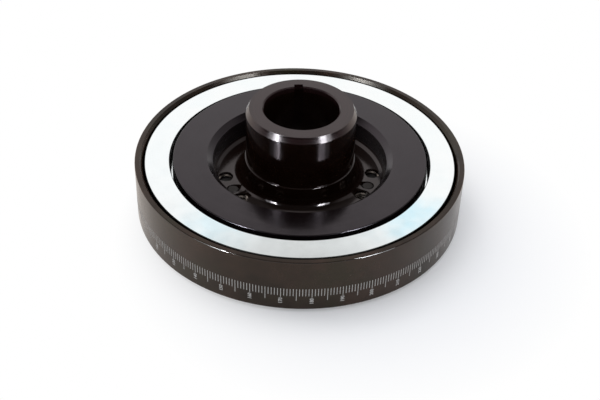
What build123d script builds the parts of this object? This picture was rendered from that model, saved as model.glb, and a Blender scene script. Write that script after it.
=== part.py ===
from build123d import *
import os
from math import radians, tan

os.makedirs("parts", exist_ok=True)

# A crankshaft torsional damper, lying on its front face with the engine side up.
# Millimetres. +Z runs along the crank towards the engine, +Y points at the keyway,
# and the origin is the centre of the front face.

# Overall sizes
shell_radius = 89.85
shell_height = 32.6
hub_height = 63.1

# Outer shell: a turned cup, open towards the engine
plate_thickness = 9.5
lip_wall = 3.95
lip_edge_radius = 0.5
lip_chamfer_width = 1.2
lip_chamfer_depth = 1.65
front_chamfer = 2.2
cup_corner_radius = 1.2
edge_break = 0.35

# Hub: nose, flange, root, seal sleeve and crank bore
nose_clearance = 0.03
nose_land = 2.5
flange_radius = 50.0
flange_thickness = 8.9
flange_rim_height = 1.4
flange_rim_width = 3.6
dish_chamfer_width = 1.5
root_radius = 30.26
flare_radius = 7.5
step_below_rim = 0.8
step_edge_radius = 0.4
sleeve_radius = 29.6
lead_in_width = 1.7
lead_in_length = 3.4
bore_radius = 20.3
bore_mouth_chamfer = 0.65
keyway_width = 4.76
keyway_depth = 2.6

# Pulley pilot, a counterbore in the front of the hub that also seats the crank bolt's washer
pilot_radius = 23.8
pilot_depth = 5.5
pilot_chamfer = 0.8

# Inner shell: a turned ring with a flange that traps the inertia ring
core_radius = 62.8
core_flange_radius = 69.2
core_flange_thickness = 6.6
core_flange_edge_radius = 0.5
recess_radius = 47.7
recess_chamfer_width = 3.1
recess_chamfer_depth = 2.7
flange_seat_clearance = 0.03

# Inertia ring
ring_flange_gap = 1.9
ring_below_rim = 1.3
ring_edge_break = 0.3

# Squeezed elastomer rings between the inertia ring and the shells
elastomer_gap = 1.2
elastomer_groove_depth = 2.4
elastomer_width = 4.2
elastomer_corner_radius = 1.4
groove_side_clearance = 0.2
groove_land = 0.8
radial_elastomer_most = 2

# Hub bolts, low-head socket screws from the front into the hub flange
hub_bolt_count = 6
hub_bolt_circle_radius = 40.6
hub_bolt_radius = 3.93
hub_bolt_head_radius = 6.35
hub_bolt_head_height = 4.2
hub_bolt_head_below_face = 0.8
hub_bolt_end_below_dish = 3.0
hub_bolt_socket_flats = 4.76
hub_bolt_socket_depth = 2.4

# Dowel pins that set the hub's one way round in the shell
dowel_radius = 3.175
dowel_circle_radius = 38.5
dowel_angles = (196.5, 343.5)
dowel_end_depth = 0.2
dowel_front_depth = 1.0
dowel_end_chamfer = 0.45

# Pulley bolt holes, tapped in the hub flange and clear through the front plate
pulley_hole_count = 3
pulley_circle_radius = 38.1
pulley_thread_radius = 3.97
pulley_clearance_radius = 4.25
pulley_first_angle = 90.0
hole_edge_break = 0.4

# Shell screws, flat-head screws from the front into the inner shell
shell_screw_count = 9
shell_screw_circle_radius = 56.4
shell_screw_radius = 3.15
shell_screw_head_radius = 6.55
shell_screw_head_angle = 82.0
shell_screw_head_below_face = 0.3
shell_screw_engagement = 10.5
shell_screw_hole_spare = 2.5
shell_screw_socket_flats = 3.97
shell_screw_socket_depth = 2.2
shell_screw_first_angle = 90.0

# Clearances and lead-ins that the round holes share
thread_clearance = 0.04
slip_clearance = 0.25
dowel_clearance = 0.02
hole_lead_in = 0.35
hole_lead_in_reach = 1.5
screw_end_chamfer = 0.6
seat_clearance = 0.03

# Levels and radii worked out from the sizes above
nose_radius = hub_bolt_circle_radius - hub_bolt_head_radius - slip_clearance - nose_land
cup_radius = shell_radius - lip_wall
ring_outer_radius = cup_radius - elastomer_gap
ring_step_radius = core_flange_radius + ring_flange_gap
dish_level = plate_thickness + flange_thickness
flange_rim_level = dish_level + flange_rim_height
step_level = shell_height - step_below_rim
lead_in_level = hub_height - lead_in_length
core_flange_level = shell_height - core_flange_thickness
ring_front_level = plate_thickness + elastomer_gap
ring_rear_level = shell_height - ring_below_rim
tongue_level = core_flange_level - elastomer_gap
tongue_inner_radius = core_radius + elastomer_gap
elastomer_height = elastomer_gap + elastomer_groove_depth
groove_width = elastomer_width + 2 * groove_side_clearance
front_elastomer_radius = (ring_step_radius + ring_outer_radius) / 2
rear_elastomer_radius = (tongue_inner_radius + ring_step_radius) / 2
# The tongue's bore holds as many grooves as fit, up to the most, evenly spaced
groove_room = tongue_level - elastomer_groove_depth - ring_front_level
groove_fit = int((groove_room - groove_land) // (groove_width + groove_land))
radial_elastomer_count = max(1, min(radial_elastomer_most, groove_fit))
groove_spacing = groove_room / radial_elastomer_count
radial_elastomer_levels = [
    ring_front_level + (number + 0.5) * groove_spacing for number in range(radial_elastomer_count)
]
front_side = Plane(origin=(0, 0, 0), x_dir=(1, 0, 0), z_dir=(0, 0, -1))


def finish(part, name):
    """Label a finished piece and write its STEP file."""
    part.label = name
    export_step(part, f"parts/{name}.step")


# Outer shell
with BuildPart() as outer_shell:
    with BuildSketch(Plane.XZ):
        with BuildLine():
            Polyline(
                (nose_radius + nose_clearance + edge_break, 0),
                (shell_radius - front_chamfer, 0),
                (shell_radius, front_chamfer),
                (shell_radius, shell_height),
                (cup_radius + lip_chamfer_width, shell_height),
                (cup_radius, shell_height - lip_chamfer_depth),
                (cup_radius, plate_thickness),
                (nose_radius + nose_clearance, plate_thickness),
                (nose_radius + nose_clearance, edge_break),
                close=True,
            )
        make_face()
        cup_corner = vertices().sort_by_distance((cup_radius, plate_thickness))[0]
        fillet(cup_corner, radius=cup_corner_radius)
        lip_corner = vertices().sort_by_distance((shell_radius, shell_height))[0]
        fillet(lip_corner, radius=lip_edge_radius)
    revolve(axis=Axis.Z)
    # Counterbored holes for the hub bolts, from the front
    with Locations(front_side):
        with PolarLocations(hub_bolt_circle_radius, hub_bolt_count):
            CounterBoreHole(
                radius=hub_bolt_radius + slip_clearance,
                counter_bore_radius=hub_bolt_head_radius + slip_clearance,
                counter_bore_depth=hub_bolt_head_below_face + hub_bolt_head_height,
                depth=plate_thickness,
            )
        with PolarLocations(
            shell_screw_circle_radius, shell_screw_count, start_angle=-shell_screw_first_angle
        ):
            CounterSinkHole(
                radius=shell_screw_radius + slip_clearance,
                counter_sink_radius=shell_screw_head_radius,
                counter_sink_angle=shell_screw_head_angle,
                depth=plate_thickness,
            )
    with BuildSketch():
        with PolarLocations(pulley_circle_radius, pulley_hole_count, start_angle=pulley_first_angle):
            Circle(pulley_clearance_radius)
        for angle in dowel_angles:
            with PolarLocations(dowel_circle_radius, 1, start_angle=angle):
                Circle(dowel_radius + dowel_clearance)
    extrude(amount=plate_thickness, mode=Mode.SUBTRACT)
    # Broken edges where the bolts and their sockets enter the front face
    front_edges = outer_shell.edges().filter_by(GeomType.CIRCLE).group_by(Axis.Z)[0]
    entry_radii = (hub_bolt_head_radius + slip_clearance, pulley_clearance_radius)
    entry_edges = [
        edge for edge in front_edges if any(abs(edge.radius - entry) < 0.001 for entry in entry_radii)
    ]
    chamfer(entry_edges, length=hole_edge_break)
finish(outer_shell.part, "outer_shell")

# Inner shell, standing on the front plate round the hub flange
with BuildPart() as inner_shell:
    with BuildSketch(Plane.XZ):
        with BuildLine():
            Polyline(
                (flange_radius + flange_seat_clearance + edge_break, plate_thickness),
                (core_radius - edge_break, plate_thickness),
                (core_radius, plate_thickness + edge_break),
                (core_radius, core_flange_level),
                (core_flange_radius, core_flange_level),
                (core_flange_radius, shell_height),
                (recess_radius + recess_chamfer_width, shell_height),
                (recess_radius, shell_height - recess_chamfer_depth),
                (recess_radius, flange_rim_level),
                (flange_radius + flange_seat_clearance, flange_rim_level),
                (flange_radius + flange_seat_clearance, plate_thickness + edge_break),
                close=True,
            )
        make_face()
        flange_corner = vertices().sort_by_distance((core_flange_radius, shell_height))[0]
        fillet(flange_corner, radius=core_flange_edge_radius)
    revolve(axis=Axis.Z)
    # Blind tapped holes for the shell screws
    with BuildSketch(Plane.XY.offset(plate_thickness)):
        with PolarLocations(
            shell_screw_circle_radius, shell_screw_count, start_angle=shell_screw_first_angle
        ):
            Circle(shell_screw_radius + thread_clearance)
    extrude(amount=shell_screw_engagement + shell_screw_hole_spare, mode=Mode.SUBTRACT)
finish(inner_shell.part, "inner_shell")

# Hub
with BuildPart() as hub:
    with BuildSketch(Plane.XZ):
        with BuildLine():
            flange_side = Polyline(
                (0, 0),
                (nose_radius - edge_break, 0),
                (nose_radius, edge_break),
                (nose_radius, plate_thickness),
                (flange_radius - edge_break, plate_thickness),
                (flange_radius, plate_thickness + edge_break),
                (flange_radius, flange_rim_level),
                (flange_radius - flange_rim_width, flange_rim_level),
                (flange_radius - flange_rim_width - dish_chamfer_width, dish_level),
                (root_radius + flare_radius, dish_level),
            )
            flare = JernArc(flange_side @ 1, (-1, 0), flare_radius, -90)
            Polyline(
                flare @ 1,
                (root_radius, step_level),
                (sleeve_radius, step_level),
                (sleeve_radius, lead_in_level),
                (sleeve_radius - lead_in_width, hub_height),
                (0, hub_height),
                (0, 0),
            )
        make_face()
        step_corner = vertices().sort_by_distance((root_radius, step_level))[0]
        fillet(step_corner, radius=step_edge_radius)
    revolve(axis=Axis.Z)
    # Pulley pilot and crank bore in one turned cut
    with BuildSketch(Plane.XZ):
        with BuildLine():
            Polyline(
                (0, 0),
                (pilot_radius + pilot_chamfer, 0),
                (pilot_radius, pilot_chamfer),
                (pilot_radius, pilot_depth),
                (bore_radius, pilot_depth),
                (bore_radius, hub_height - bore_mouth_chamfer),
                (bore_radius + bore_mouth_chamfer, hub_height),
                (0, hub_height),
                close=True,
            )
        make_face()
    revolve(axis=Axis.Z, mode=Mode.SUBTRACT)
    with BuildSketch(Plane.XY.offset(pilot_depth)):
        Rectangle(keyway_width, bore_radius + keyway_depth, align=(Align.CENTER, Align.MIN))
    extrude(amount=hub_height - pilot_depth, mode=Mode.SUBTRACT)
    # Holes through the flange, then the lead-ins where they meet the dish and the flare
    with BuildSketch(Plane.XY.offset(plate_thickness)):
        with PolarLocations(hub_bolt_circle_radius, hub_bolt_count):
            Circle(hub_bolt_radius + thread_clearance)
        with PolarLocations(pulley_circle_radius, pulley_hole_count, start_angle=pulley_first_angle):
            Circle(pulley_thread_radius)
        for angle in dowel_angles:
            with PolarLocations(dowel_circle_radius, 1, start_angle=angle):
                Circle(dowel_radius + dowel_clearance)
    extrude(amount=flange_thickness + flare_radius, mode=Mode.SUBTRACT)
    with BuildSketch(Plane.XY.offset(dish_level - hole_lead_in)):
        with PolarLocations(hub_bolt_circle_radius, hub_bolt_count):
            Circle(hub_bolt_radius + thread_clearance)
    extrude(amount=hole_lead_in, taper=-45, mode=Mode.SUBTRACT)
    with BuildSketch(Plane.XY.offset(dish_level - hole_lead_in)):
        with PolarLocations(pulley_circle_radius, pulley_hole_count, start_angle=pulley_first_angle):
            Circle(pulley_thread_radius)
        for angle in dowel_angles:
            with PolarLocations(dowel_circle_radius, 1, start_angle=angle):
                Circle(dowel_radius + dowel_clearance)
    extrude(amount=hole_lead_in + hole_lead_in_reach, taper=-45, mode=Mode.SUBTRACT)
finish(hub.part, "hub")

# Inertia ring: a heavy rim, with a tongue that reaches in under the inner shell's flange
with BuildPart() as inertia_ring:
    with BuildSketch(Plane.XZ):
        with BuildLine():
            Polyline(
                (tongue_inner_radius, ring_front_level),
                (ring_outer_radius - ring_edge_break, ring_front_level),
                (ring_outer_radius, ring_front_level + ring_edge_break),
                (ring_outer_radius, ring_rear_level - ring_edge_break),
                (ring_outer_radius - ring_edge_break, ring_rear_level),
                (ring_step_radius + ring_edge_break, ring_rear_level),
                (ring_step_radius, ring_rear_level - ring_edge_break),
                (ring_step_radius, tongue_level),
                (tongue_inner_radius, tongue_level),
                close=True,
            )
        make_face()
        # Grooves for the elastomers: one in each face, two in the bore
        with Locations((front_elastomer_radius, ring_front_level)):
            Rectangle(
                groove_width, elastomer_groove_depth,
                align=(Align.CENTER, Align.MIN), mode=Mode.SUBTRACT,
            )
        with Locations((rear_elastomer_radius, tongue_level)):
            Rectangle(
                groove_width, elastomer_groove_depth,
                align=(Align.CENTER, Align.MAX), mode=Mode.SUBTRACT,
            )
        for level in radial_elastomer_levels:
            with Locations((tongue_inner_radius, level)):
                Rectangle(
                    elastomer_groove_depth, groove_width,
                    align=(Align.MIN, Align.CENTER), mode=Mode.SUBTRACT,
                )
    revolve(axis=Axis.Z)
finish(inertia_ring.part, "inertia_ring")

# Elastomer rings, squeezed flat where they bear
with BuildPart() as front_elastomer:
    with BuildSketch(Plane.XZ):
        with Locations((front_elastomer_radius, plate_thickness + elastomer_height / 2)):
            RectangleRounded(elastomer_width, elastomer_height, elastomer_corner_radius)
    revolve(axis=Axis.Z)
finish(front_elastomer.part, "front_elastomer")

with BuildPart() as rear_elastomer:
    with BuildSketch(Plane.XZ):
        with Locations((rear_elastomer_radius, core_flange_level - elastomer_height / 2)):
            RectangleRounded(elastomer_width, elastomer_height, elastomer_corner_radius)
    revolve(axis=Axis.Z)
finish(rear_elastomer.part, "rear_elastomer")

for number, level in enumerate(radial_elastomer_levels, start=1):
    with BuildPart() as radial_elastomer:
        with BuildSketch(Plane.XZ):
            with Locations((core_radius + elastomer_height / 2, level)):
                RectangleRounded(elastomer_height, elastomer_width, elastomer_corner_radius)
        revolve(axis=Axis.Z)
    finish(radial_elastomer.part, f"radial_elastomer_{number}")

# Hub bolts
hub_bolt_seat = hub_bolt_head_below_face + hub_bolt_head_height
hub_bolt_end = dish_level - hub_bolt_end_below_dish
for number in range(hub_bolt_count):
    turn = number * 360 / hub_bolt_count
    with PolarLocations(hub_bolt_circle_radius, 1, start_angle=turn) as place:
        bolt_plane = Plane(place.locations[0])
    with BuildPart() as hub_bolt:
        with BuildSketch(bolt_plane.offset(hub_bolt_head_below_face)):
            Circle(hub_bolt_head_radius)
        extrude(amount=hub_bolt_head_height)
        head_rim = hub_bolt.faces().sort_by(Axis.Z)[0].edges()
        chamfer(head_rim, length=edge_break)
        with BuildSketch(bolt_plane.offset(hub_bolt_seat)):
            Circle(hub_bolt_radius)
        extrude(amount=hub_bolt_end - hub_bolt_seat)
        chamfer(hub_bolt.faces().sort_by(Axis.Z)[-1].edges(), length=screw_end_chamfer)
        with BuildSketch(bolt_plane.offset(hub_bolt_head_below_face)):
            RegularPolygon(hub_bolt_socket_flats / 2, 6, major_radius=False)
        extrude(amount=hub_bolt_socket_depth, mode=Mode.SUBTRACT)
    finish(hub_bolt.part, f"hub_bolt_{number + 1}")

# Shell screws: each head's cone follows its countersink
head_slope = tan(radians(shell_screw_head_angle / 2))
head_edge = shell_screw_head_radius - shell_screw_head_below_face * head_slope - seat_clearance
head_end = (shell_screw_head_radius - seat_clearance - shell_screw_radius) / head_slope
shell_screw_end = plate_thickness + shell_screw_engagement
for number in range(shell_screw_count):
    turn = shell_screw_first_angle + number * 360 / shell_screw_count
    with PolarLocations(shell_screw_circle_radius, 1, start_angle=turn) as place:
        screw_plane = Plane(place.locations[0])
    section_plane = Plane(
        origin=screw_plane.origin, x_dir=screw_plane.x_dir, z_dir=-screw_plane.y_dir
    )
    with BuildPart() as shell_screw:
        with BuildSketch(section_plane):
            with BuildLine():
                Polyline(
                    (0, shell_screw_head_below_face),
                    (head_edge, shell_screw_head_below_face),
                    (shell_screw_radius, head_end),
                    (shell_screw_radius, shell_screw_end - screw_end_chamfer),
                    (shell_screw_radius - screw_end_chamfer, shell_screw_end),
                    (0, shell_screw_end),
                    close=True,
                )
            make_face()
        revolve(axis=Axis(screw_plane.origin, (0, 0, 1)))
        with BuildSketch(screw_plane.offset(shell_screw_head_below_face)):
            RegularPolygon(shell_screw_socket_flats / 2, 6, major_radius=False)
        extrude(amount=shell_screw_socket_depth, mode=Mode.SUBTRACT)
    finish(shell_screw.part, f"shell_screw_{number + 1}")

# Dowel pins
dowel_length = dish_level - dowel_end_depth - dowel_front_depth
for number, angle in enumerate(dowel_angles, start=1):
    with PolarLocations(dowel_circle_radius, 1, start_angle=angle) as place:
        dowel_plane = Plane(place.locations[0])
    with BuildPart() as dowel_pin:
        with BuildSketch(dowel_plane.offset(dowel_front_depth)):
            Circle(dowel_radius)
        extrude(amount=dowel_length)
        chamfer(dowel_pin.edges().filter_by(GeomType.CIRCLE), length=dowel_end_chamfer)
    finish(dowel_pin.part, f"dowel_pin_{number}")
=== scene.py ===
import math

import bmesh
import bpy
from bpy.props import FloatProperty, FloatVectorProperty, IntProperty, PointerProperty
from bpy.types import Operator, Panel, PropertyGroup
from mathutils import Matrix, Vector


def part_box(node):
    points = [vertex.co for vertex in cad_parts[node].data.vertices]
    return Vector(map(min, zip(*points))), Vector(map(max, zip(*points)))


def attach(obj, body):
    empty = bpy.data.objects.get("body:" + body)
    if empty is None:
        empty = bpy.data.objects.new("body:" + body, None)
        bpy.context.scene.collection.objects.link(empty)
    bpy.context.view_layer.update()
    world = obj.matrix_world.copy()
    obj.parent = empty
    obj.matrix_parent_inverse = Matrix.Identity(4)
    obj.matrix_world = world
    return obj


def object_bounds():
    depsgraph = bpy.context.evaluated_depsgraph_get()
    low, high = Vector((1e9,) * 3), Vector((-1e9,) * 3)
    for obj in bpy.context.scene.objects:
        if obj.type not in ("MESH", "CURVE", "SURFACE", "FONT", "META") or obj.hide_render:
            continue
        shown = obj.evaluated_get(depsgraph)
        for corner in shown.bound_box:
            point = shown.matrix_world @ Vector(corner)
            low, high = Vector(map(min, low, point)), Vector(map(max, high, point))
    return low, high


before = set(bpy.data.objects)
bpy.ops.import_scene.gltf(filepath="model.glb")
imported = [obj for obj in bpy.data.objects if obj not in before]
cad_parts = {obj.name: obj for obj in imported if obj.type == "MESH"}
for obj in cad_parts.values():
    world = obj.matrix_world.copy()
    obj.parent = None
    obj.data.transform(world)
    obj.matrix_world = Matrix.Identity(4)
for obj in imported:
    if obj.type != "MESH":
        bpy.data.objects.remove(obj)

bl_info = {
    "name": "Harmonic Balancer Finish",
    "version": (1, 0, 0),
    "blender": (4, 5, 0),
    "location": "View3D > Sidebar > Balancer",
    "description": "Finishes, degree scale, threads and studio for a crankshaft damper",
    "category": "Object",
}

CAD_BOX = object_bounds()
MM = 0.001

# Measures read from the CAD nodes, in metres
RIM_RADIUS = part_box("outer_shell")[1].x
RIM_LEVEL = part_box("outer_shell")[1].z
RING_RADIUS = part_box("inertia_ring")[1].x
FLANGE_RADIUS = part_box("inner_shell")[1].x
PLATE_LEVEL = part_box("inner_shell")[0].z
BOLT_END_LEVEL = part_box("hub_bolt_1")[1].z
PIN_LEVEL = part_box("dowel_pin_1")[1].z
NOSE_LEVEL = CAD_BOX[1].z

# Sizes that the nodes' boxes don't give
RIM_CORNER = 0.5 * MM
PIN_DROP = 0.2 * MM
LEAD_IN_HEIGHT = 3.4 * MM
FLANGE_GAP = 1.9 * MM
RECESS_RADIUS = 47.9 * MM
RECESS_CORNER = 48.6 * MM
DISH_INNER_RADIUS = 34.5 * MM
DISH_OUTER_RADIUS = 38.0 * MM
PULLEY_CIRCLE = 38.1 * MM
PULLEY_AZIMUTHS = (90, 210, 330)
THREADED_WALL = 3.97 * MM

DISH_LEVEL = PIN_LEVEL + PIN_DROP
LEAD_IN_LEVEL = NOSE_LEVEL - LEAD_IN_HEIGHT
RING_BORE_RADIUS = FLANGE_RADIUS + FLANGE_GAP

FIXED_BODY = "shells_and_hub"
HUB_BOLTS = 6

# Name, azimuth in degrees, width in metres and share of the strip power
STRIP_LAMPS = (
    ("strip_left_edge", 220.0, 0.04, 0.80),
    ("strip_left", 214.4, 0.20, 0.44),
    ("strip_left_outer", 205.0, 0.28, 0.08),
    ("strip_right_edge", 304.6, 0.03, 0.24),
    ("strip_right", 310.8, 0.26, 0.74),
    ("strip_right_outer", 321.0, 0.26, 0.14),
)


# ---------------------------------------------------------------- settings


class BalancerScaleSettings(PropertyGroup):
    mark_width: FloatProperty(
        name="Mark width", description="Width of one etched mark",
        default=0.36 * MM, unit="LENGTH", precision=5,
    )
    mark_top: FloatProperty(
        name="Mark top", description="Height of every mark's upper end",
        default=15.5 * MM, unit="LENGTH", precision=5,
    )
    one_low: FloatProperty(
        name="One-degree end", description="Height of a one-degree mark's lower end",
        default=10.8 * MM, unit="LENGTH", precision=5,
    )
    five_low: FloatProperty(
        name="Five-degree end", description="Height of a five-degree mark's lower end",
        default=7.7 * MM, unit="LENGTH", precision=5,
    )
    ten_low: FloatProperty(
        name="Ten-degree end", description="Height of a ten-degree mark's lower end",
        default=9.9 * MM, unit="LENGTH", precision=5,
    )
    number_level: FloatProperty(
        name="Number level", description="Height of the middle of each number",
        default=7.35 * MM, unit="LENGTH", precision=5,
    )
    number_size: FloatProperty(
        name="Number size", description="Type size of the numbers",
        default=2.65 * MM, unit="LENGTH", precision=5,
    )
    number_weight: FloatProperty(
        name="Number weight", description="How far each stroke is thickened",
        default=0.09 * MM, unit="LENGTH", precision=5,
    )
    proud: FloatProperty(
        name="Proud", description="How far the etching stands off the wall",
        default=0.012 * MM, unit="LENGTH", precision=6,
    )
    sunk: FloatProperty(
        name="Sunk", description="How far the etching reaches into the wall",
        default=0.08 * MM, unit="LENGTH", precision=6,
    )
    zero_azimuth: FloatProperty(
        name="Zero azimuth", description="Where the zero mark lies, over the keyway",
        default=math.radians(90), unit="ROTATION",
    )


class BalancerThreadSettings(PropertyGroup):
    pitch: FloatProperty(
        name="Pitch", description="Rise of one turn of thread",
        default=1.411 * MM, unit="LENGTH", precision=6,
    )
    depth: FloatProperty(
        name="Depth", description="Height of the thread from root to crest",
        default=0.72 * MM, unit="LENGTH", precision=6,
    )
    crest: FloatProperty(
        name="Crest", description="Width of the flat on the crest",
        default=0.18 * MM, unit="LENGTH", precision=6,
    )
    root_gap: FloatProperty(
        name="Root", description="Width of the bare wall between two turns",
        default=0.20 * MM, unit="LENGTH", precision=6,
    )
    steps: IntProperty(
        name="Steps", description="Segments in one turn of thread",
        default=32, min=12, max=96,
    )
    seat: FloatProperty(
        name="Seat", description="How far the thread's root lies inside the wall",
        default=0.05 * MM, unit="LENGTH", precision=6,
    )
    mouth: FloatProperty(
        name="Mouth", description="How far below the dish the thread stops",
        default=0.45 * MM, unit="LENGTH", precision=6,
    )
    bolt_clearance: FloatProperty(
        name="Bolt clearance", description="Room between a hub bolt's end and its thread",
        default=0.03 * MM, unit="LENGTH", precision=6,
    )


class BalancerFinishSettings(PropertyGroup):
    shell_dark: FloatVectorProperty(
        name="Shell dark", description="Darker tone of the outer shell",
        default=(0.0050, 0.0024, 0.0008), subtype="COLOR", size=3, min=0, max=1,
    )
    shell_light: FloatVectorProperty(
        name="Shell light", description="Lighter tone of the outer shell",
        default=(0.0290, 0.0150, 0.0100), subtype="COLOR", size=3, min=0, max=1,
    )
    shell_olive: FloatVectorProperty(
        name="Shell olive", description="Cooler stain in the outer shell's black oxide",
        default=(0.0120, 0.0105, 0.0040), subtype="COLOR", size=3, min=0, max=1,
    )
    shell_worn: FloatVectorProperty(
        name="Shell worn", description="Bare tone of the rim's corner, where the black has worn",
        default=(0.095, 0.088, 0.086), subtype="COLOR", size=3, min=0, max=1,
    )
    core_dark: FloatVectorProperty(
        name="Core dark", description="Darker tone of the inner shell",
        default=(0.0024, 0.0013, 0.0014), subtype="COLOR", size=3, min=0, max=1,
    )
    core_light: FloatVectorProperty(
        name="Core light", description="Lighter tone of the inner shell",
        default=(0.0052, 0.0034, 0.0036), subtype="COLOR", size=3, min=0, max=1,
    )
    hub_dark: FloatVectorProperty(
        name="Hub dark", description="Darker tone of the hub",
        default=(0.0034, 0.0010, 0.0003), subtype="COLOR", size=3, min=0, max=1,
    )
    hub_light: FloatVectorProperty(
        name="Hub light", description="Lighter tone of the hub",
        default=(0.0064, 0.0030, 0.0018), subtype="COLOR", size=3, min=0, max=1,
    )
    hub_nose: FloatVectorProperty(
        name="Hub nose", description="Lighter tone of the turned end of the nose",
        default=(0.0165, 0.0060, 0.0070), subtype="COLOR", size=3, min=0, max=1,
    )
    zinc_white: FloatVectorProperty(
        name="Zinc white", description="Main tone of the plated ring",
        default=(0.975, 0.985, 0.980), subtype="COLOR", size=3, min=0, max=1,
    )
    zinc_blue: FloatVectorProperty(
        name="Zinc blue", description="Tone of the blue patches in the plating",
        default=(0.70, 0.92, 1.0), subtype="COLOR", size=3, min=0, max=1,
    )
    # Painted shade: a grey tone painted on the ring's near middle, standing in for the darker
    # reflection that the hub leaves there
    zinc_grey: FloatVectorProperty(
        name="Zinc grey", description="Tone where the plating is thin and dull",
        default=(0.60, 0.63, 0.625), subtype="COLOR", size=3, min=0, max=1,
    )
    # Painted shade: a near-black tone painted on the ring's outer edge and inner step, standing in
    # for the shade down in the gaps beside them
    zinc_edge: FloatVectorProperty(
        name="Zinc edge", description="Tone of the ring's outer edge, down in the gap",
        default=(0.020, 0.018, 0.016), subtype="COLOR", size=3, min=0, max=1,
    )
    etch: FloatVectorProperty(
        name="Etch", description="Tone of the etched marks",
        default=(0.40, 0.385, 0.37), subtype="COLOR", size=3, min=0, max=1,
    )
    etch_dimmed: FloatProperty(
        name="Etch dimmed", description="Share of the etch tone in its darker specks",
        default=0.82, min=0, max=1, subtype="FACTOR",
    )
    rubber_dark: FloatVectorProperty(
        name="Rubber dark", description="Darker tone of the elastomer rings",
        default=(0.008, 0.008, 0.008), subtype="COLOR", size=3, min=0, max=1,
    )
    rubber_light: FloatVectorProperty(
        name="Rubber light", description="Lighter tone of the elastomer rings",
        default=(0.020, 0.020, 0.020), subtype="COLOR", size=3, min=0, max=1,
    )
    screw_dark: FloatVectorProperty(
        name="Screw dark", description="Darker tone of the screws and bolts",
        default=(0.006, 0.005, 0.005), subtype="COLOR", size=3, min=0, max=1,
    )
    screw_light: FloatVectorProperty(
        name="Screw light", description="Lighter tone of the screws and bolts",
        default=(0.022, 0.020, 0.020), subtype="COLOR", size=3, min=0, max=1,
    )
    pin_dark: FloatVectorProperty(
        name="Pin dark", description="Darker tone of the dowel pins",
        default=(0.022, 0.019, 0.018), subtype="COLOR", size=3, min=0, max=1,
    )
    pin_light: FloatVectorProperty(
        name="Pin light", description="Lighter tone of the dowel pins",
        default=(0.055, 0.049, 0.047), subtype="COLOR", size=3, min=0, max=1,
    )
    thread_dark: FloatVectorProperty(
        name="Thread dark", description="Darker tone of the cut threads",
        default=(0.16, 0.135, 0.12), subtype="COLOR", size=3, min=0, max=1,
    )
    thread_light: FloatVectorProperty(
        name="Thread light", description="Lighter tone of the cut threads",
        default=(0.42, 0.36, 0.32), subtype="COLOR", size=3, min=0, max=1,
    )


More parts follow.
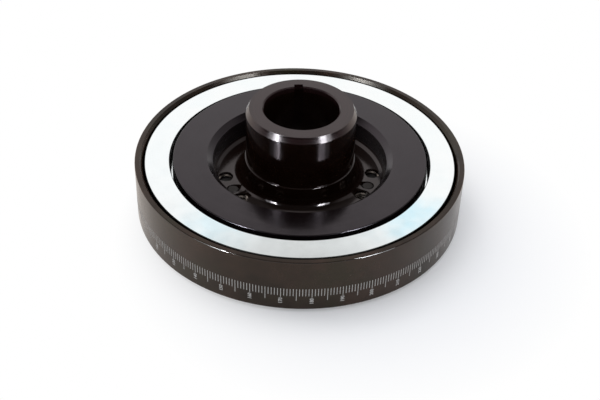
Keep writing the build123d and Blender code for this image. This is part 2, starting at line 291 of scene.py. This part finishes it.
class BalancerStageSettings(PropertyGroup):
    azimuth: FloatProperty(
        name="Azimuth", description="Direction from the balancer to the camera",
        default=math.radians(264.65), unit="ROTATION",
    )
    elevation: FloatProperty(
        name="Elevation", description="Angle of the camera above the rim plane",
        default=0.627, unit="ROTATION",
    )
    distance: FloatProperty(
        name="Distance", description="Camera to the middle of the rim plane",
        default=0.6026, unit="LENGTH",
    )
    roll: FloatProperty(
        name="Roll", description="Turn of the camera about its view",
        default=0.034, unit="ROTATION",
    )
    tilt: FloatProperty(
        name="Tilt", description="How far the camera looks below the rim's middle",
        default=math.radians(2.384), unit="ROTATION",
    )
    lens: FloatProperty(
        name="Lens", description="Focal length on a 36 mm sensor",
        default=65.98, unit="CAMERA",
    )
    paper_dark: FloatVectorProperty(
        name="Paper dark", description="Darker tone of the floor paper",
        default=(0.855, 0.86, 0.885), subtype="COLOR", size=3, min=0, max=1,
    )
    paper_light: FloatVectorProperty(
        name="Paper light", description="Lighter tone of the floor paper",
        default=(0.875, 0.88, 0.905), subtype="COLOR", size=3, min=0, max=1,
    )
    paper_mirrored: FloatVectorProperty(
        name="Paper mirrored", description="Tone of the floor paper in reflections",
        default=(1.0, 0.93, 0.87), subtype="COLOR", size=3, min=0, max=1,
    )
    shadow_place: FloatVectorProperty(
        name="Shadow place", description="Middle of the floor's shaded patch",
        default=(0.028, -0.028, 0.0), subtype="XYZ", unit="LENGTH", size=3,
    )
    shadow_core: FloatProperty(
        name="Shadow core", description="Radius inside which the floor shades fully",
        default=0.070, unit="LENGTH",
    )
    shadow_reach: FloatProperty(
        name="Shadow reach", description="Radius beyond which the floor is plain white",
        default=0.130, unit="LENGTH",
    )
    shadow_depth: FloatProperty(
        name="Shadow depth", description="How much of the shading the patch shows",
        default=0.80, min=0, max=1, subtype="FACTOR",
    )
    sky: FloatProperty(
        name="Sky", description="Strength of the white surroundings",
        default=0.78, min=0,
    )
    sky_color: FloatVectorProperty(
        name="Sky colour", description="Tone of the light from the surroundings",
        default=(0.94, 0.965, 1.0), subtype="COLOR", size=3, min=0, max=1,
    )
    sheet_turn: FloatVectorProperty(
        name="Sheet turn", size=2, default=(-0.05, 0.35),
        description="Cosine towards the camera where the white sheet behind starts and stops fading",
    )
    sheet_top: FloatVectorProperty(
        name="Sheet top", size=2, default=(0.646, 0.715),
        description="Sine of elevation where the white sheet starts and stops fading",
    )
    above_sheet: FloatProperty(
        name="Above sheet", description="Strength in reflections above the white sheet",
        default=0.17, min=0, max=1,
    )
    sheet_side: FloatVectorProperty(
        name="Sheet side", size=2, default=(0.35, 0.75),
        description="Cosine to the right where the white sheet starts and stops dimming",
    )
    side_level: FloatProperty(
        name="Side level", description="Strength of the white sheet at its right end",
        default=0.40, min=0, max=1,
    )
    ceiling_edge: FloatVectorProperty(
        name="Ceiling edge", size=2, default=(0.93, 0.985),
        description="Sine of elevation where the lit ceiling starts and is full",
    )
    ceiling: FloatProperty(
        name="Ceiling", description="Strength of the lit ceiling in reflections",
        default=0.65, min=0, max=1,
    )
    dark_side: FloatProperty(
        name="Dark side", description="Strength of the unlit half of the room in reflections",
        default=0.06, min=0, max=1,
    )
    top_power: FloatProperty(
        name="Top lamp", description="Power of the large lamp overhead",
        default=9.0, min=0, unit="POWER",
    )
    top_place: FloatVectorProperty(
        name="Top lamp place", description="Where the large lamp overhead hangs",
        default=(-0.15, 0.35, 1.5), subtype="XYZ", unit="LENGTH", size=3,
    )
    top_size: FloatVectorProperty(
        name="Top lamp size", description="Width and length of the large lamp overhead",
        default=(1.3, 1.0), unit="LENGTH", size=2,
    )
    top_color: FloatVectorProperty(
        name="Top lamp colour", description="Tone of the large lamp overhead",
        default=(1.0, 0.985, 0.96), subtype="COLOR", size=3, min=0, max=1,
    )
    strip_power: FloatProperty(
        name="Strip lamps", description="Power that the tall strip lamps take shares of",
        default=32.0, min=0, unit="POWER",
    )
    strip_distance: FloatProperty(
        name="Strip distance", description="How far the strip lamps stand from the crank axis",
        default=1.5, unit="LENGTH",
    )
    strip_height: FloatProperty(
        name="Strip height", description="Height of the strip lamps' middles",
        default=0.66, unit="LENGTH",
    )
    strip_length: FloatProperty(
        name="Strip length", description="Length of the strip lamps",
        default=0.95, unit="LENGTH",
    )
    strip_aim: FloatProperty(
        name="Strip aim", description="Height on the crank axis that the strip lamps point at",
        default=0.03, unit="LENGTH",
    )
    strip_color: FloatVectorProperty(
        name="Strip colour", description="Tone of the strip lamps",
        default=(0.84, 0.94, 1.0), subtype="COLOR", size=3, min=0, max=1,
    )
    floor_reach: FloatProperty(
        name="Floor reach", description="Half the width of the floor",
        default=4.0, unit="LENGTH",
    )


# ---------------------------------------------------------------- node helpers


class NodeBench:
    """A material's node tree, with short calls to add and join nodes."""

    def __init__(self, name):
        self.material = bpy.data.materials.new(name)
        self.material.use_nodes = True
        self.tree = self.material.node_tree
        self.tree.nodes.clear()
        self.output = self.tree.nodes.new("ShaderNodeOutputMaterial")
        self.coords = self.tree.nodes.new("ShaderNodeTexCoord")

    def join(self, source, target):
        self.tree.links.new(source, target)

    def feed(self, socket, value):
        if isinstance(value, bpy.types.NodeSocket):
            self.join(value, socket)
        else:
            socket.default_value = value

    def add(self, kind, *values, **settings):
        node = self.tree.nodes.new(kind)
        for key, value in settings.items():
            setattr(node, key, value)
        for socket, value in zip(node.inputs, values):
            if value is not None:
                self.feed(socket, value)
        return node

    def math(self, operation, *values):
        return self.add("ShaderNodeMath", *values, operation=operation).outputs[0]

    def vector(self, operation, *values):
        return self.add("ShaderNodeVectorMath", *values, operation=operation)

    def position(self):
        return self.coords.outputs["Object"]

    def radius(self):
        """Distance from the crank axis, in metres."""
        flat = self.vector("MULTIPLY", self.position(), (1.0, 1.0, 0.0))
        return self.vector("LENGTH", flat.outputs[0]).outputs["Value"]

    def height(self):
        split = self.add("ShaderNodeSeparateXYZ", self.position())
        return split.outputs["Z"]

    def noise(self, scale, detail=3.0, roughness=0.5, stretch=(1.0, 1.0, 1.0)):
        place = self.add("ShaderNodeMapping", self.position())
        place.inputs["Scale"].default_value = stretch
        node = self.add("ShaderNodeTexNoise")
        self.join(place.outputs[0], node.inputs["Vector"])
        node.inputs["Scale"].default_value = scale
        node.inputs["Detail"].default_value = detail
        node.inputs["Roughness"].default_value = roughness
        return node.outputs["Fac"]

    def blend(self, factor, low, high):
        """Mixes two colours by a factor."""
        node = self.add("ShaderNodeMix", data_type="RGBA")
        self.feed(node.inputs[0], factor)
        for socket, color in ((node.inputs[6], low), (node.inputs[7], high)):
            if not isinstance(color, bpy.types.NodeSocket):
                color = (*color, 1.0)
            self.feed(socket, color)
        return node.outputs[2]

    def span(self, value, low, high, to_low, to_high):
        """Maps a value from one range to another, held at its ends."""
        node = self.add("ShaderNodeMapRange", value, low, high, to_low, to_high)
        return node.outputs[0]

    def patches(self, scale, contrast, levels=(0.0, 1.0), detail=3.0, stretch=(1.0, 1.0, 1.0)):
        """Soft patches: noise cut at a contrast and mapped to two levels."""
        cloud = self.noise(scale, detail, 0.6, stretch)
        return self.span(cloud, *contrast, *levels)

    def turned_bands(self, scale):
        """Uneven rings of tone round the crank axis, from 0 to 1."""
        place = self.add("ShaderNodeCombineXYZ", self.radius(), self.height(), 0.0)
        node = self.add("ShaderNodeTexNoise")
        self.join(place.outputs[0], node.inputs["Vector"])
        node.inputs["Scale"].default_value = scale
        return node.outputs["Fac"]

    def near(self, place, full, none):
        """1 within a distance of a place, falling to 0 further out."""
        gap = self.vector("DISTANCE", self.position(), place).outputs["Value"]
        return self.span(gap, full, none, 1.0, 0.0)

    def tool_lines(self, measure, ripple_scale, spacing, wobble):
        """Fine waves along a measure, as heights from 0 to 1."""
        ripple = self.noise(ripple_scale, detail=2.0)
        shifted = self.math("MULTIPLY_ADD", ripple, wobble, measure)
        phase = self.math("MULTIPLY", shifted, math.tau / spacing)
        return self.math("MULTIPLY_ADD", self.math("SINE", phase), 0.5, 0.5)

    def turned_lines(self, spacing, wobble):
        """Fine rings left by turning a face."""
        return self.tool_lines(self.radius(), 220.0, spacing, wobble)

    def ground_lines(self, spacing, wobble):
        """Fine hoops left by turning or grinding a cylinder."""
        return self.tool_lines(self.height(), 260.0, spacing, wobble)

    def bump(self, height, distance, strength=1.0, under=None):
        node = self.add("ShaderNodeBump")
        node.inputs["Strength"].default_value = strength
        node.inputs["Distance"].default_value = distance
        self.join(height, node.inputs["Height"])
        if under is not None:
            self.join(under, node.inputs["Normal"])
        return node.outputs[0]

    def surface(self, color, roughness, normal, metallic=0.0, ior=1.5, tint=(1.0, 1.0, 1.0)):
        shader = self.add("ShaderNodeBsdfPrincipled")
        self.feed(shader.inputs["Base Color"], color)
        self.feed(shader.inputs["Roughness"], roughness)
        self.feed(shader.inputs["Metallic"], metallic)
        shader.inputs["IOR"].default_value = ior
        shader.inputs["Specular Tint"].default_value = (*tint, 1.0)
        self.join(normal, shader.inputs["Normal"])
        self.join(shader.outputs[0], self.output.inputs["Surface"])


# ---------------------------------------------------------------- finishes


def shell_black(finish):
    """Warm satin black of the outer shell, worn bare on the rim's corner."""
    bench = NodeBench("shell_black")
    tone = bench.patches(scale=28.0, detail=4.0, contrast=(0.38, 0.64))
    warm = bench.blend(tone, finish.shell_dark, finish.shell_light)
    stain = bench.span(bench.noise(scale=41.0, detail=3.0, roughness=0.55), 0.50, 0.66, 0.0, 0.8)
    color = bench.blend(stain, warm, finish.shell_olive)
    satin = bench.patches(
        scale=60.0, contrast=(0.3, 0.7), levels=(0.15, 0.27), stretch=(1.0, 1.0, 0.35)
    )
    radius = bench.radius()
    height = bench.height()
    corner_radius = RIM_RADIUS - RIM_CORNER
    corner_level = RIM_LEVEL - RIM_CORNER
    outer = bench.span(radius, corner_radius - 0.4 * MM, corner_radius, 0.0, 1.0)
    polish = bench.span(height, corner_level - 0.4 * MM, corner_level, 0.0, -0.13)
    roughness = bench.math("MULTIPLY_ADD", outer, polish, satin)
    worn_out = bench.span(radius, RIM_RADIUS - 0.25 * MM, RIM_RADIUS - 0.12 * MM, 0.0, 1.0)
    worn_up = bench.span(height, RIM_LEVEL - 0.48 * MM, RIM_LEVEL - 0.38 * MM, 0.0, 1.0)
    worn = bench.math("MULTIPLY", worn_out, worn_up)
    color = bench.blend(worn, color, finish.shell_worn)
    skin = bench.bump(bench.noise(scale=1500.0, detail=2.0), 0.004 * MM, 0.5)
    hoops = bench.ground_lines(spacing=0.30 * MM, wobble=0.3 * MM)
    normal = bench.bump(hoops, 0.0012 * MM, 0.4, skin)
    bench.surface(color, roughness, normal, metallic=worn, ior=1.39, tint=(1.0, 0.86, 0.76))
    return bench.material


def core_black(finish):
    """Turned satin black oxide of the inner shell."""
    bench = NodeBench("core_black")
    tone = bench.patches(scale=40.0, detail=4.0, contrast=(0.35, 0.68))
    color = bench.blend(tone, finish.core_dark, finish.core_light)
    polish = bench.patches(scale=90.0, contrast=(0.3, 0.7), levels=(0.14, 0.22))
    recess = bench.span(bench.radius(), RECESS_RADIUS, RECESS_CORNER, 0.08, 0.0)
    bands = bench.span(bench.turned_bands(700.0), 0.35, 0.65, -0.02, 0.03)
    roughness = bench.math("ADD", bench.math("ADD", polish, recess), bands)
    skin = bench.bump(bench.noise(scale=1800.0, detail=2.0), 0.003 * MM, 0.5)
    rings = bench.turned_lines(spacing=0.22 * MM, wobble=0.2 * MM)
    normal = bench.bump(rings, 0.0010 * MM, 0.4, skin)
    bench.surface(color, roughness, normal, ior=1.50, tint=(1.0, 0.85, 0.94))
    return bench.material


def hub_black(finish):
    """Glossy black oxide of the ground hub, duller in the dish and on the turned nose."""
    bench = NodeBench("hub_black")
    tone = bench.patches(scale=55.0, detail=4.0, contrast=(0.35, 0.68))
    color = bench.blend(tone, finish.hub_dark, finish.hub_light)
    nose = bench.span(bench.height(), LEAD_IN_LEVEL, LEAD_IN_LEVEL + 0.2 * MM, 0.0, 1.0)
    streaks = bench.span(bench.turned_bands(900.0), 0.35, 0.65, 0.1, 1.0)
    color = bench.blend(bench.math("MULTIPLY", nose, streaks), color, finish.hub_nose)
    polish = bench.patches(
        scale=120.0, contrast=(0.3, 0.7), levels=(0.06, 0.11), stretch=(1.0, 1.0, 0.3)
    )
    dish = bench.span(bench.radius(), DISH_INNER_RADIUS, DISH_OUTER_RADIUS, 0.0, 0.09)
    tool_marks = bench.span(bench.turned_bands(1500.0), 0.3, 0.7, 0.04, 0.16)
    turned = bench.math("MULTIPLY", nose, tool_marks)
    roughness = bench.math("ADD", bench.math("ADD", polish, dish), turned)
    hoops = bench.bump(bench.ground_lines(spacing=0.18 * MM, wobble=0.2 * MM), 0.0006 * MM, 0.4)
    rings = bench.turned_lines(spacing=0.20 * MM, wobble=0.2 * MM)
    normal = bench.bump(rings, 0.0006 * MM, 0.4, hoops)
    bench.surface(color, roughness, normal, ior=1.53, tint=(1.0, 0.86, 0.86))
    return bench.material


def zinc_plate(finish):
    """Bright zinc of the inertia ring, with blue patches, a painted shade patch on its near middle
    and painted gap shade at its edges.
    """
    bench = NodeBench("zinc_plate")
    right_bloom = bench.near((0.052, -0.058, 0.030), full=0.012, none=0.034)
    left_bloom = bench.near((-0.050, -0.062, 0.030), full=0.010, none=0.034)
    bloom = bench.math("MAXIMUM", right_bloom, bench.math("MULTIPLY", left_bloom, 0.6))
    cloud = bench.span(bench.noise(scale=34.0, detail=3.0, roughness=0.55), 0.38, 0.60, 0.25, 1.0)
    blue = bench.math("MULTIPLY", bench.math("MAXIMUM", bloom, 0.12), cloud)
    color = bench.blend(blue, finish.zinc_white, finish.zinc_blue)
    # Painted shade: the ring's near middle is blended towards grey for the darker reflection that
    # the hub leaves there
    near_painted_shade = bench.near((-0.003, -0.078, 0.031), full=0.012, none=0.052)
    color = bench.blend(bench.math("MULTIPLY", near_painted_shade, 0.55), color, finish.zinc_grey)
    radius = bench.radius()
    # Painted gap shade: a band at the outer edge and a band between the bore and the step are
    # painted near-black for the shade in the gaps, and made rougher
    outer_gap_shade = bench.span(radius, RING_RADIUS - 0.50 * MM, RING_RADIUS - 0.32 * MM, 0.0, 1.0)
    bore_top = RING_BORE_RADIUS + 0.26 * MM
    bore_edge = bench.span(radius, bore_top, bore_top + 0.18 * MM, 1.0, 0.0)
    step_corner = RING_BORE_RADIUS - 0.85 * MM
    step_edge = bench.span(radius, step_corner, step_corner + 0.20 * MM, 0.0, 1.0)
    inner_gap_shade = bench.math("MULTIPLY", bore_edge, step_edge)
    edge = bench.math("MAXIMUM", outer_gap_shade, inner_gap_shade)
    color = bench.blend(edge, color, finish.zinc_edge)
    polish = bench.patches(scale=140.0, contrast=(0.3, 0.7), levels=(0.09, 0.15))
    roughness = bench.math("MULTIPLY_ADD", edge, 0.40, polish)
    grain = bench.bump(bench.noise(scale=2600.0, detail=2.0), 0.002 * MM, 0.4)
    rings = bench.turned_lines(spacing=0.25 * MM, wobble=0.3 * MM)
    bench.surface(color, roughness, bench.bump(rings, 0.0008 * MM, 0.4, grain), metallic=1.0)
    return bench.material


def ground_pin(finish):
    """Ground steel of the dowel pins."""
    bench = NodeBench("ground_pin")
    speck = bench.noise(scale=800.0, detail=3.0)
    color = bench.blend(speck, finish.pin_dark, finish.pin_light)
    roughness = bench.span(speck, 0.3, 0.7, 0.30, 0.44)
    hoops = bench.ground_lines(spacing=0.15 * MM, wobble=0.2 * MM)
    bench.surface(color, roughness, bench.bump(hoops, 0.001 * MM, 0.4), metallic=1.0)
    return bench.material


def speckled(name, scale, tones, satin, pits, strength=0.4, metallic=0.0):
    """A plain finish whose tone, roughness and pits follow one fine speckle."""
    bench = NodeBench(name)
    speck = bench.noise(scale, detail=3.0)
    color = bench.blend(speck, *tones)
    roughness = bench.span(speck, 0.3, 0.7, *satin)
    bench.surface(color, roughness, bench.bump(speck, pits, strength), metallic=metallic)
    return bench.material


def moulded_rubber(finish):
    """Matte black of the elastomer rings."""
    tones = (finish.rubber_dark, finish.rubber_light)
    return speckled("moulded_rubber", 900.0, tones, satin=(0.75, 0.90), pits=0.010 * MM)


def screw_black(finish):
    """Black oxide of the socket screws."""
    tones = (finish.screw_dark, finish.screw_light)
    return speckled(
        "screw_black", 700.0, tones, satin=(0.30, 0.42), pits=0.006 * MM, strength=0.5
    )


def etched_grey(finish):
    """Laser-etched marks and numbers."""
    dimmed = tuple(finish.etch_dimmed * channel for channel in finish.etch)
    tones = (dimmed, finish.etch)
    return speckled("etched_grey", 2400.0, tones, satin=(0.55, 0.72), pits=0.004 * MM)


def cut_thread(finish):
    """Bright worn steel of the cut threads."""
    tones = (finish.thread_dark, finish.thread_light)
    return speckled(
        "cut_thread", 900.0, tones, satin=(0.18, 0.30), pits=0.004 * MM, metallic=1.0
    )


# Each finish and the starts of its nodes' names, where a later row wins
NODE_FINISHES = (
    (shell_black, ("outer_shell",)),
    (core_black, ("inner_shell",)),
    (hub_black, ("hub",)),
    (zinc_plate, ("inertia_ring",)),
    (moulded_rubber, ("front_elastomer", "rear_elastomer", "radial_elastomer_")),
    (screw_black, ("hub_bolt_", "shell_screw_")),
    (ground_pin, ("dowel_pin_",)),
)


# ---------------------------------------------------------------- mesh helpers


def settle(name, shape, material):
    """Turns a bmesh into a finished piece that rides on the shells and hub."""
    mesh = bpy.data.meshes.new(name)
    shape.to_mesh(mesh)
    shape.free()
    mesh.materials.append(material)
    piece = bpy.data.objects.new(name, mesh)
    bpy.context.scene.collection.objects.link(piece)
    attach(piece, FIXED_BODY)


def etch_place(azimuth, level):
    """Matrix whose X is out from the wall, Y along the rim and Z up."""
    turn = Matrix.Rotation(azimuth, 4, "Z")
    return turn @ Matrix.Translation((RIM_RADIUS, 0.0, level))


def number_shape(text, settings):
    """Mesh data of one number, lying in its own XY plane."""
    curve = bpy.data.curves.new("number_outline", "FONT")
    curve.body = text
    curve.size = settings.number_size
    curve.align_x = "CENTER"
    curve.align_y = "CENTER"
    curve.offset = settings.number_weight
    curve.extrude = (settings.proud + settings.sunk) / 2
    curve.resolution_u = 3
    holder = bpy.data.objects.new("number_outline", curve)
    bpy.context.scene.collection.objects.link(holder)
    bpy.context.view_layer.update()
    mesh = bpy.data.meshes.new_from_object(holder)
    bpy.data.objects.remove(holder)
    bpy.data.curves.remove(curve)
    return mesh


def thread_ridge(centre, low, high, threads):
    """One helical ridge that stands in from a hole's wall, between two levels."""
    half_foot = (threads.pitch - threads.root_gap) / 2
    half_crest = threads.crest / 2
    foot = THREADED_WALL + threads.seat
    crest = THREADED_WALL - threads.depth
    profile = (
        (foot, -half_foot), (crest, -half_crest), (crest, half_crest), (foot, half_foot),
    )
    first = low + half_foot
    rise = high - half_foot - first
    turns = rise / threads.pitch
    steps = max(3, round(turns * threads.steps))
    shape = bmesh.new()
    corners = [
        shape.verts.new((centre.x + reach, centre.y, first + offset))
        for reach, offset in profile
    ]
    section = shape.faces.new(corners)
    bmesh.ops.spin(
        shape,
        geom=[section, *section.edges, *section.verts],
        cent=(centre.x, centre.y, first),
        axis=(0.0, 0.0, 1.0),
        dvec=(0.0, 0.0, rise / steps),
        angle=turns * math.tau,
        steps=steps,
        use_merge=False,
    )
    bmesh.ops.recalc_face_normals(shape, faces=shape.faces)
    return shape


# ---------------------------------------------------------------- operators


class BALANCER_OT_finishes(Operator):
    """Give every carried-over node the finish of its real piece"""

    bl_idname = "balancer.finishes"
    bl_label = "Finishes"

    def execute(self, context):
        finish = context.scene.balancer_finish
        for make, starts in NODE_FINISHES:
            material = make(finish)
            for name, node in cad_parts.items():
                if name.startswith(starts):
                    for slot in node.material_slots:
                        slot.material = material
        return {"FINISHED"}


class BALANCER_OT_degree_marks(Operator):
    """Etch the one, five and ten-degree marks round the outer shell"""

    bl_idname = "balancer.degree_marks"
    bl_label = "Degree marks"

    def execute(self, context):
        settings = context.scene.balancer_scale
        depth = settings.proud + settings.sunk
        middle = Matrix.Translation((settings.proud - depth / 2, 0.0, 0.0))
        shape = bmesh.new()
        for degree in range(360):
            low = settings.one_low
            if degree % 10 == 0:
                low = settings.ten_low
            elif degree % 5 == 0:
                low = settings.five_low
            azimuth = settings.zero_azimuth + math.radians(degree)
            place = etch_place(azimuth, (low + settings.mark_top) / 2)
            size = Matrix.Diagonal(
                (depth, settings.mark_width, settings.mark_top - low, 1.0)
            )
            bmesh.ops.create_cube(shape, size=1.0, matrix=place @ middle @ size)
        material = etched_grey(context.scene.balancer_finish)
        settle("degree_marks", shape, material)
        return {"FINISHED"}


class BALANCER_OT_degree_numbers(Operator):
    """Etch a number under each ten-degree mark, reading upwards"""

    bl_idname = "balancer.degree_numbers"
    bl_label = "Degree numbers"

    def execute(self, context):
        settings = context.scene.balancer_scale
        reading_up = Matrix((
            (0.0, 0.0, 1.0),
            (0.0, -1.0, 0.0),
            (1.0, 0.0, 0.0),
        )).to_4x4()
        middle = Matrix.Translation(((settings.proud - settings.sunk) / 2, 0.0, 0.0))
        shape = bmesh.new()
        for degree in range(0, 360, 10):
            mesh = number_shape(str(degree), settings)
            azimuth = settings.zero_azimuth + math.radians(degree)
            place = etch_place(azimuth, settings.number_level)
            mesh.transform(place @ middle @ reading_up)
            shape.from_mesh(mesh)
            bpy.data.meshes.remove(mesh)
        bmesh.ops.remove_doubles(shape, verts=shape.verts, dist=0.001 * MM)
        bmesh.ops.recalc_face_normals(shape, faces=shape.faces)
        material = bpy.data.materials["etched_grey"]
        settle("degree_numbers", shape, material)
        return {"FINISHED"}


class BALANCER_OT_hole_threads(Operator):
    """Cut the threads that show in the pulley and hub bolt holes"""

    bl_idname = "balancer.hole_threads"
    bl_label = "Hole threads"

    def execute(self, context):
        threads = context.scene.balancer_thread
        material = cut_thread(context.scene.balancer_finish)
        high = DISH_LEVEL - threads.mouth
        for number, azimuth in enumerate(PULLEY_AZIMUTHS, start=1):
            turn = math.radians(azimuth)
            centre = Vector((math.cos(turn), math.sin(turn))) * PULLEY_CIRCLE
            shape = thread_ridge(centre, PLATE_LEVEL, high, threads)
            settle(f"pulley_thread_{number}", shape, material)
        low = BOLT_END_LEVEL + threads.bolt_clearance
        for number in range(1, HUB_BOLTS + 1):
            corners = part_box(f"hub_bolt_{number}")
            centre = (corners[0] + corners[1]).xy / 2
            shape = thread_ridge(centre, low, high, threads)
            settle(f"hub_bolt_thread_{number}", shape, material)
        return {"FINISHED"}


class BALANCER_OT_stage(Operator):
    """Set up the floor, the surroundings, the lamps and the camera"""

    bl_idname = "balancer.stage"
    bl_label = "Stage"

    def execute(self, context):
        stage = context.scene.balancer_stage
        self.floor(context.scene, stage)
        self.surroundings(context.scene, stage)
        self.lamps(context.scene, stage)
        self.camera(context.scene, stage)
        context.scene.view_settings.view_transform = "Standard"
        return {"FINISHED"}

    def floor(self, scene, stage):
        shape = bmesh.new()
        bmesh.ops.create_grid(shape, x_segments=2, y_segments=2, size=stage.floor_reach)
        mesh = bpy.data.meshes.new("floor")
        shape.to_mesh(mesh)
        shape.free()
        floor = bpy.data.objects.new("floor", mesh)
        scene.collection.objects.link(floor)
        mesh.materials.append(self.studio_paper(stage))

    def studio_paper(self, stage):
        """Paper that shades in a patch round the object and shows plain white beyond it."""
        bench = NodeBench("studio_paper")
        tone = bench.noise(scale=6.0, detail=2.0)
        paper = bench.add("ShaderNodeBsdfDiffuse")
        bench.feed(paper.inputs["Color"], bench.blend(tone, stage.paper_dark, stage.paper_light))
        path = bench.add("ShaderNodeLightPath")
        mirrored = path.outputs["Is Glossy Ray"]
        glow = bench.add("ShaderNodeEmission")
        glow_color = bench.blend(mirrored, (1.0, 1.0, 1.0), stage.paper_mirrored)
        bench.feed(glow.inputs["Color"], glow_color)
        glow.inputs["Strength"].default_value = 1.0
        seen = bench.math("MAXIMUM", path.outputs["Is Camera Ray"], mirrored)
        seen = bench.math("MAXIMUM", seen, path.outputs["Is Transmission Ray"])
        shadow = bench.near(stage.shadow_place, full=stage.shadow_core, none=stage.shadow_reach)
        white = bench.math("MULTIPLY_ADD", shadow, -stage.shadow_depth, 1.0)
        mix = bench.add("ShaderNodeMixShader")
        bench.feed(mix.inputs[0], bench.math("MULTIPLY", seen, white))
        bench.join(paper.outputs[0], mix.inputs[1])
        bench.join(glow.outputs[0], mix.inputs[2])
        bench.join(mix.outputs[0], bench.output.inputs["Surface"])
        return bench.material

    def surroundings(self, scene, stage):
        world = bpy.data.worlds.new("studio_white")
        scene.world = world
        world.use_nodes = True
        tree = world.node_tree
        tree.nodes.clear()

        def add(kind, *values, **settings):
            node = tree.nodes.new(kind)
            for key, value in settings.items():
                setattr(node, key, value)
            for socket, value in zip(node.inputs, values):
                if isinstance(value, bpy.types.NodeSocket):
                    tree.links.new(value, socket)
                elif value is not None:
                    socket.default_value = value
            return node

        def fade(value, edges, low, high):
            return add("ShaderNodeMapRange", value, *edges, low, high).outputs[0]

        def combine(operation, first, second):
            return add("ShaderNodeMath", first, second, operation=operation).outputs[0]

        def towards(heading):
            cosine = add("ShaderNodeVectorMath", direction, heading, operation="DOT_PRODUCT")
            return cosine.outputs["Value"]

        direction = add("ShaderNodeTexCoord").outputs["Generated"]
        to_camera = (math.cos(stage.azimuth), math.sin(stage.azimuth), 0.0)
        to_right = (-math.sin(stage.azimuth), math.cos(stage.azimuth), 0.0)
        rise = add("ShaderNodeSeparateXYZ", direction).outputs["Z"]
        behind = fade(towards(to_camera), stage.sheet_turn, 1.0, 0.0)
        side = fade(towards(to_right), stage.sheet_side, 1.0, stage.side_level)
        low = fade(rise, stage.sheet_top, 1.0, stage.above_sheet)
        sheet = combine("MULTIPLY", combine("MULTIPLY", behind, side), low)
        ceiling = fade(rise, stage.ceiling_edge, stage.dark_side, stage.ceiling)
        white = (1.0, 1.0, 1.0, 1.0)
        lit = add("ShaderNodeBackground", (*stage.sky_color, 1.0), stage.sky)
        reflected = add("ShaderNodeBackground", white, combine("MAXIMUM", sheet, ceiling))
        plain = add("ShaderNodeBackground", white, 1.0)
        path = add("ShaderNodeLightPath")
        unseen = add(
            "ShaderNodeMixShader", path.outputs["Is Glossy Ray"],
            lit.outputs[0], reflected.outputs[0],
        )
        open_view = combine(
            "MAXIMUM", path.outputs["Is Camera Ray"], path.outputs["Is Transmission Ray"]
        )
        seen = add("ShaderNodeMixShader", open_view, unseen.outputs[0], plain.outputs[0])
        add("ShaderNodeOutputWorld", seen.outputs[0])

    def lamp(self, scene, name, place, target, size, power, color):
        data = bpy.data.lights.new(name, "AREA")
        data.shape = "RECTANGLE"
        data.size, data.size_y = size
        data.energy = power
        data.color = color
        lamp = bpy.data.objects.new(name, data)
        place = Vector(place)
        aim = (Vector(target) - place).to_track_quat("-Z", "Y")
        lamp.matrix_world = Matrix.LocRotScale(place, aim, None)
        scene.collection.objects.link(lamp)
        return lamp

    def lamps(self, scene, stage):
        top = self.lamp(
            scene, "top_lamp", stage.top_place, (0.0, 0.0, 0.0), stage.top_size,
            stage.top_power, stage.top_color,
        )
        top.visible_glossy = False
        for name, azimuth, width, share in STRIP_LAMPS:
            out = Matrix.Rotation(math.radians(azimuth), 4, "Z")
            place = out @ Vector((stage.strip_distance, 0.0, stage.strip_height))
            strip = self.lamp(
                scene, name, place, (0.0, 0.0, stage.strip_aim), (width, stage.strip_length),
                stage.strip_power * share, stage.strip_color,
            )
            strip.visible_diffuse = False

    def camera(self, scene, stage):
        data = bpy.data.cameras.new("camera")
        data.sensor_width = 36.0
        data.lens = stage.lens
        data.clip_start = 0.01
        camera = bpy.data.objects.new("camera", data)
        scene.collection.objects.link(camera)
        level = math.cos(stage.elevation)
        back = Vector((
            level * math.cos(stage.azimuth),
            level * math.sin(stage.azimuth),
            math.sin(stage.elevation),
        ))
        right = Vector((-math.sin(stage.azimuth), math.cos(stage.azimuth), 0.0))
        up = back.cross(right)
        view = Matrix((right, up, back)).transposed().to_4x4()
        view = view @ Matrix.Rotation(stage.roll, 4, "Z") @ Matrix.Rotation(-stage.tilt, 4, "X")
        place = Vector((0.0, 0.0, RIM_LEVEL)) + back * stage.distance
        camera.matrix_world = Matrix.Translation(place) @ view
        scene.camera = camera


class BALANCER_PT_sidebar(Panel):
    """Lists the balancer's pieces in the sidebar"""

    bl_idname = "BALANCER_PT_sidebar"
    bl_label = "Balancer"
    bl_space_type = "VIEW_3D"
    bl_region_type = "UI"
    bl_category = "Balancer"

    def draw(self, context):
        for operator in OPERATORS:
            self.layout.operator(operator.bl_idname)


SETTINGS = (
    ("balancer_scale", BalancerScaleSettings),
    ("balancer_thread", BalancerThreadSettings),
    ("balancer_finish", BalancerFinishSettings),
    ("balancer_stage", BalancerStageSettings),
)
OPERATORS = (
    BALANCER_OT_finishes,
    BALANCER_OT_degree_marks,
    BALANCER_OT_degree_numbers,
    BALANCER_OT_hole_threads,
    BALANCER_OT_stage,
)


def register():
    for name, group in SETTINGS:
        bpy.utils.register_class(group)
        setattr(bpy.types.Scene, name, PointerProperty(type=group))
    for operator in OPERATORS:
        bpy.utils.register_class(operator)
    bpy.utils.register_class(BALANCER_PT_sidebar)


def unregister():
    bpy.utils.unregister_class(BALANCER_PT_sidebar)
    for operator in reversed(OPERATORS):
        bpy.utils.unregister_class(operator)
    for name, group in reversed(SETTINGS):
        delattr(bpy.types.Scene, name)
        bpy.utils.unregister_class(group)


def main():
    register()
    bpy.ops.balancer.finishes()
    bpy.ops.balancer.degree_marks()
    bpy.ops.balancer.degree_numbers()
    bpy.ops.balancer.hole_threads()
    bpy.ops.balancer.stage()


if __name__ == "__main__":
    main()
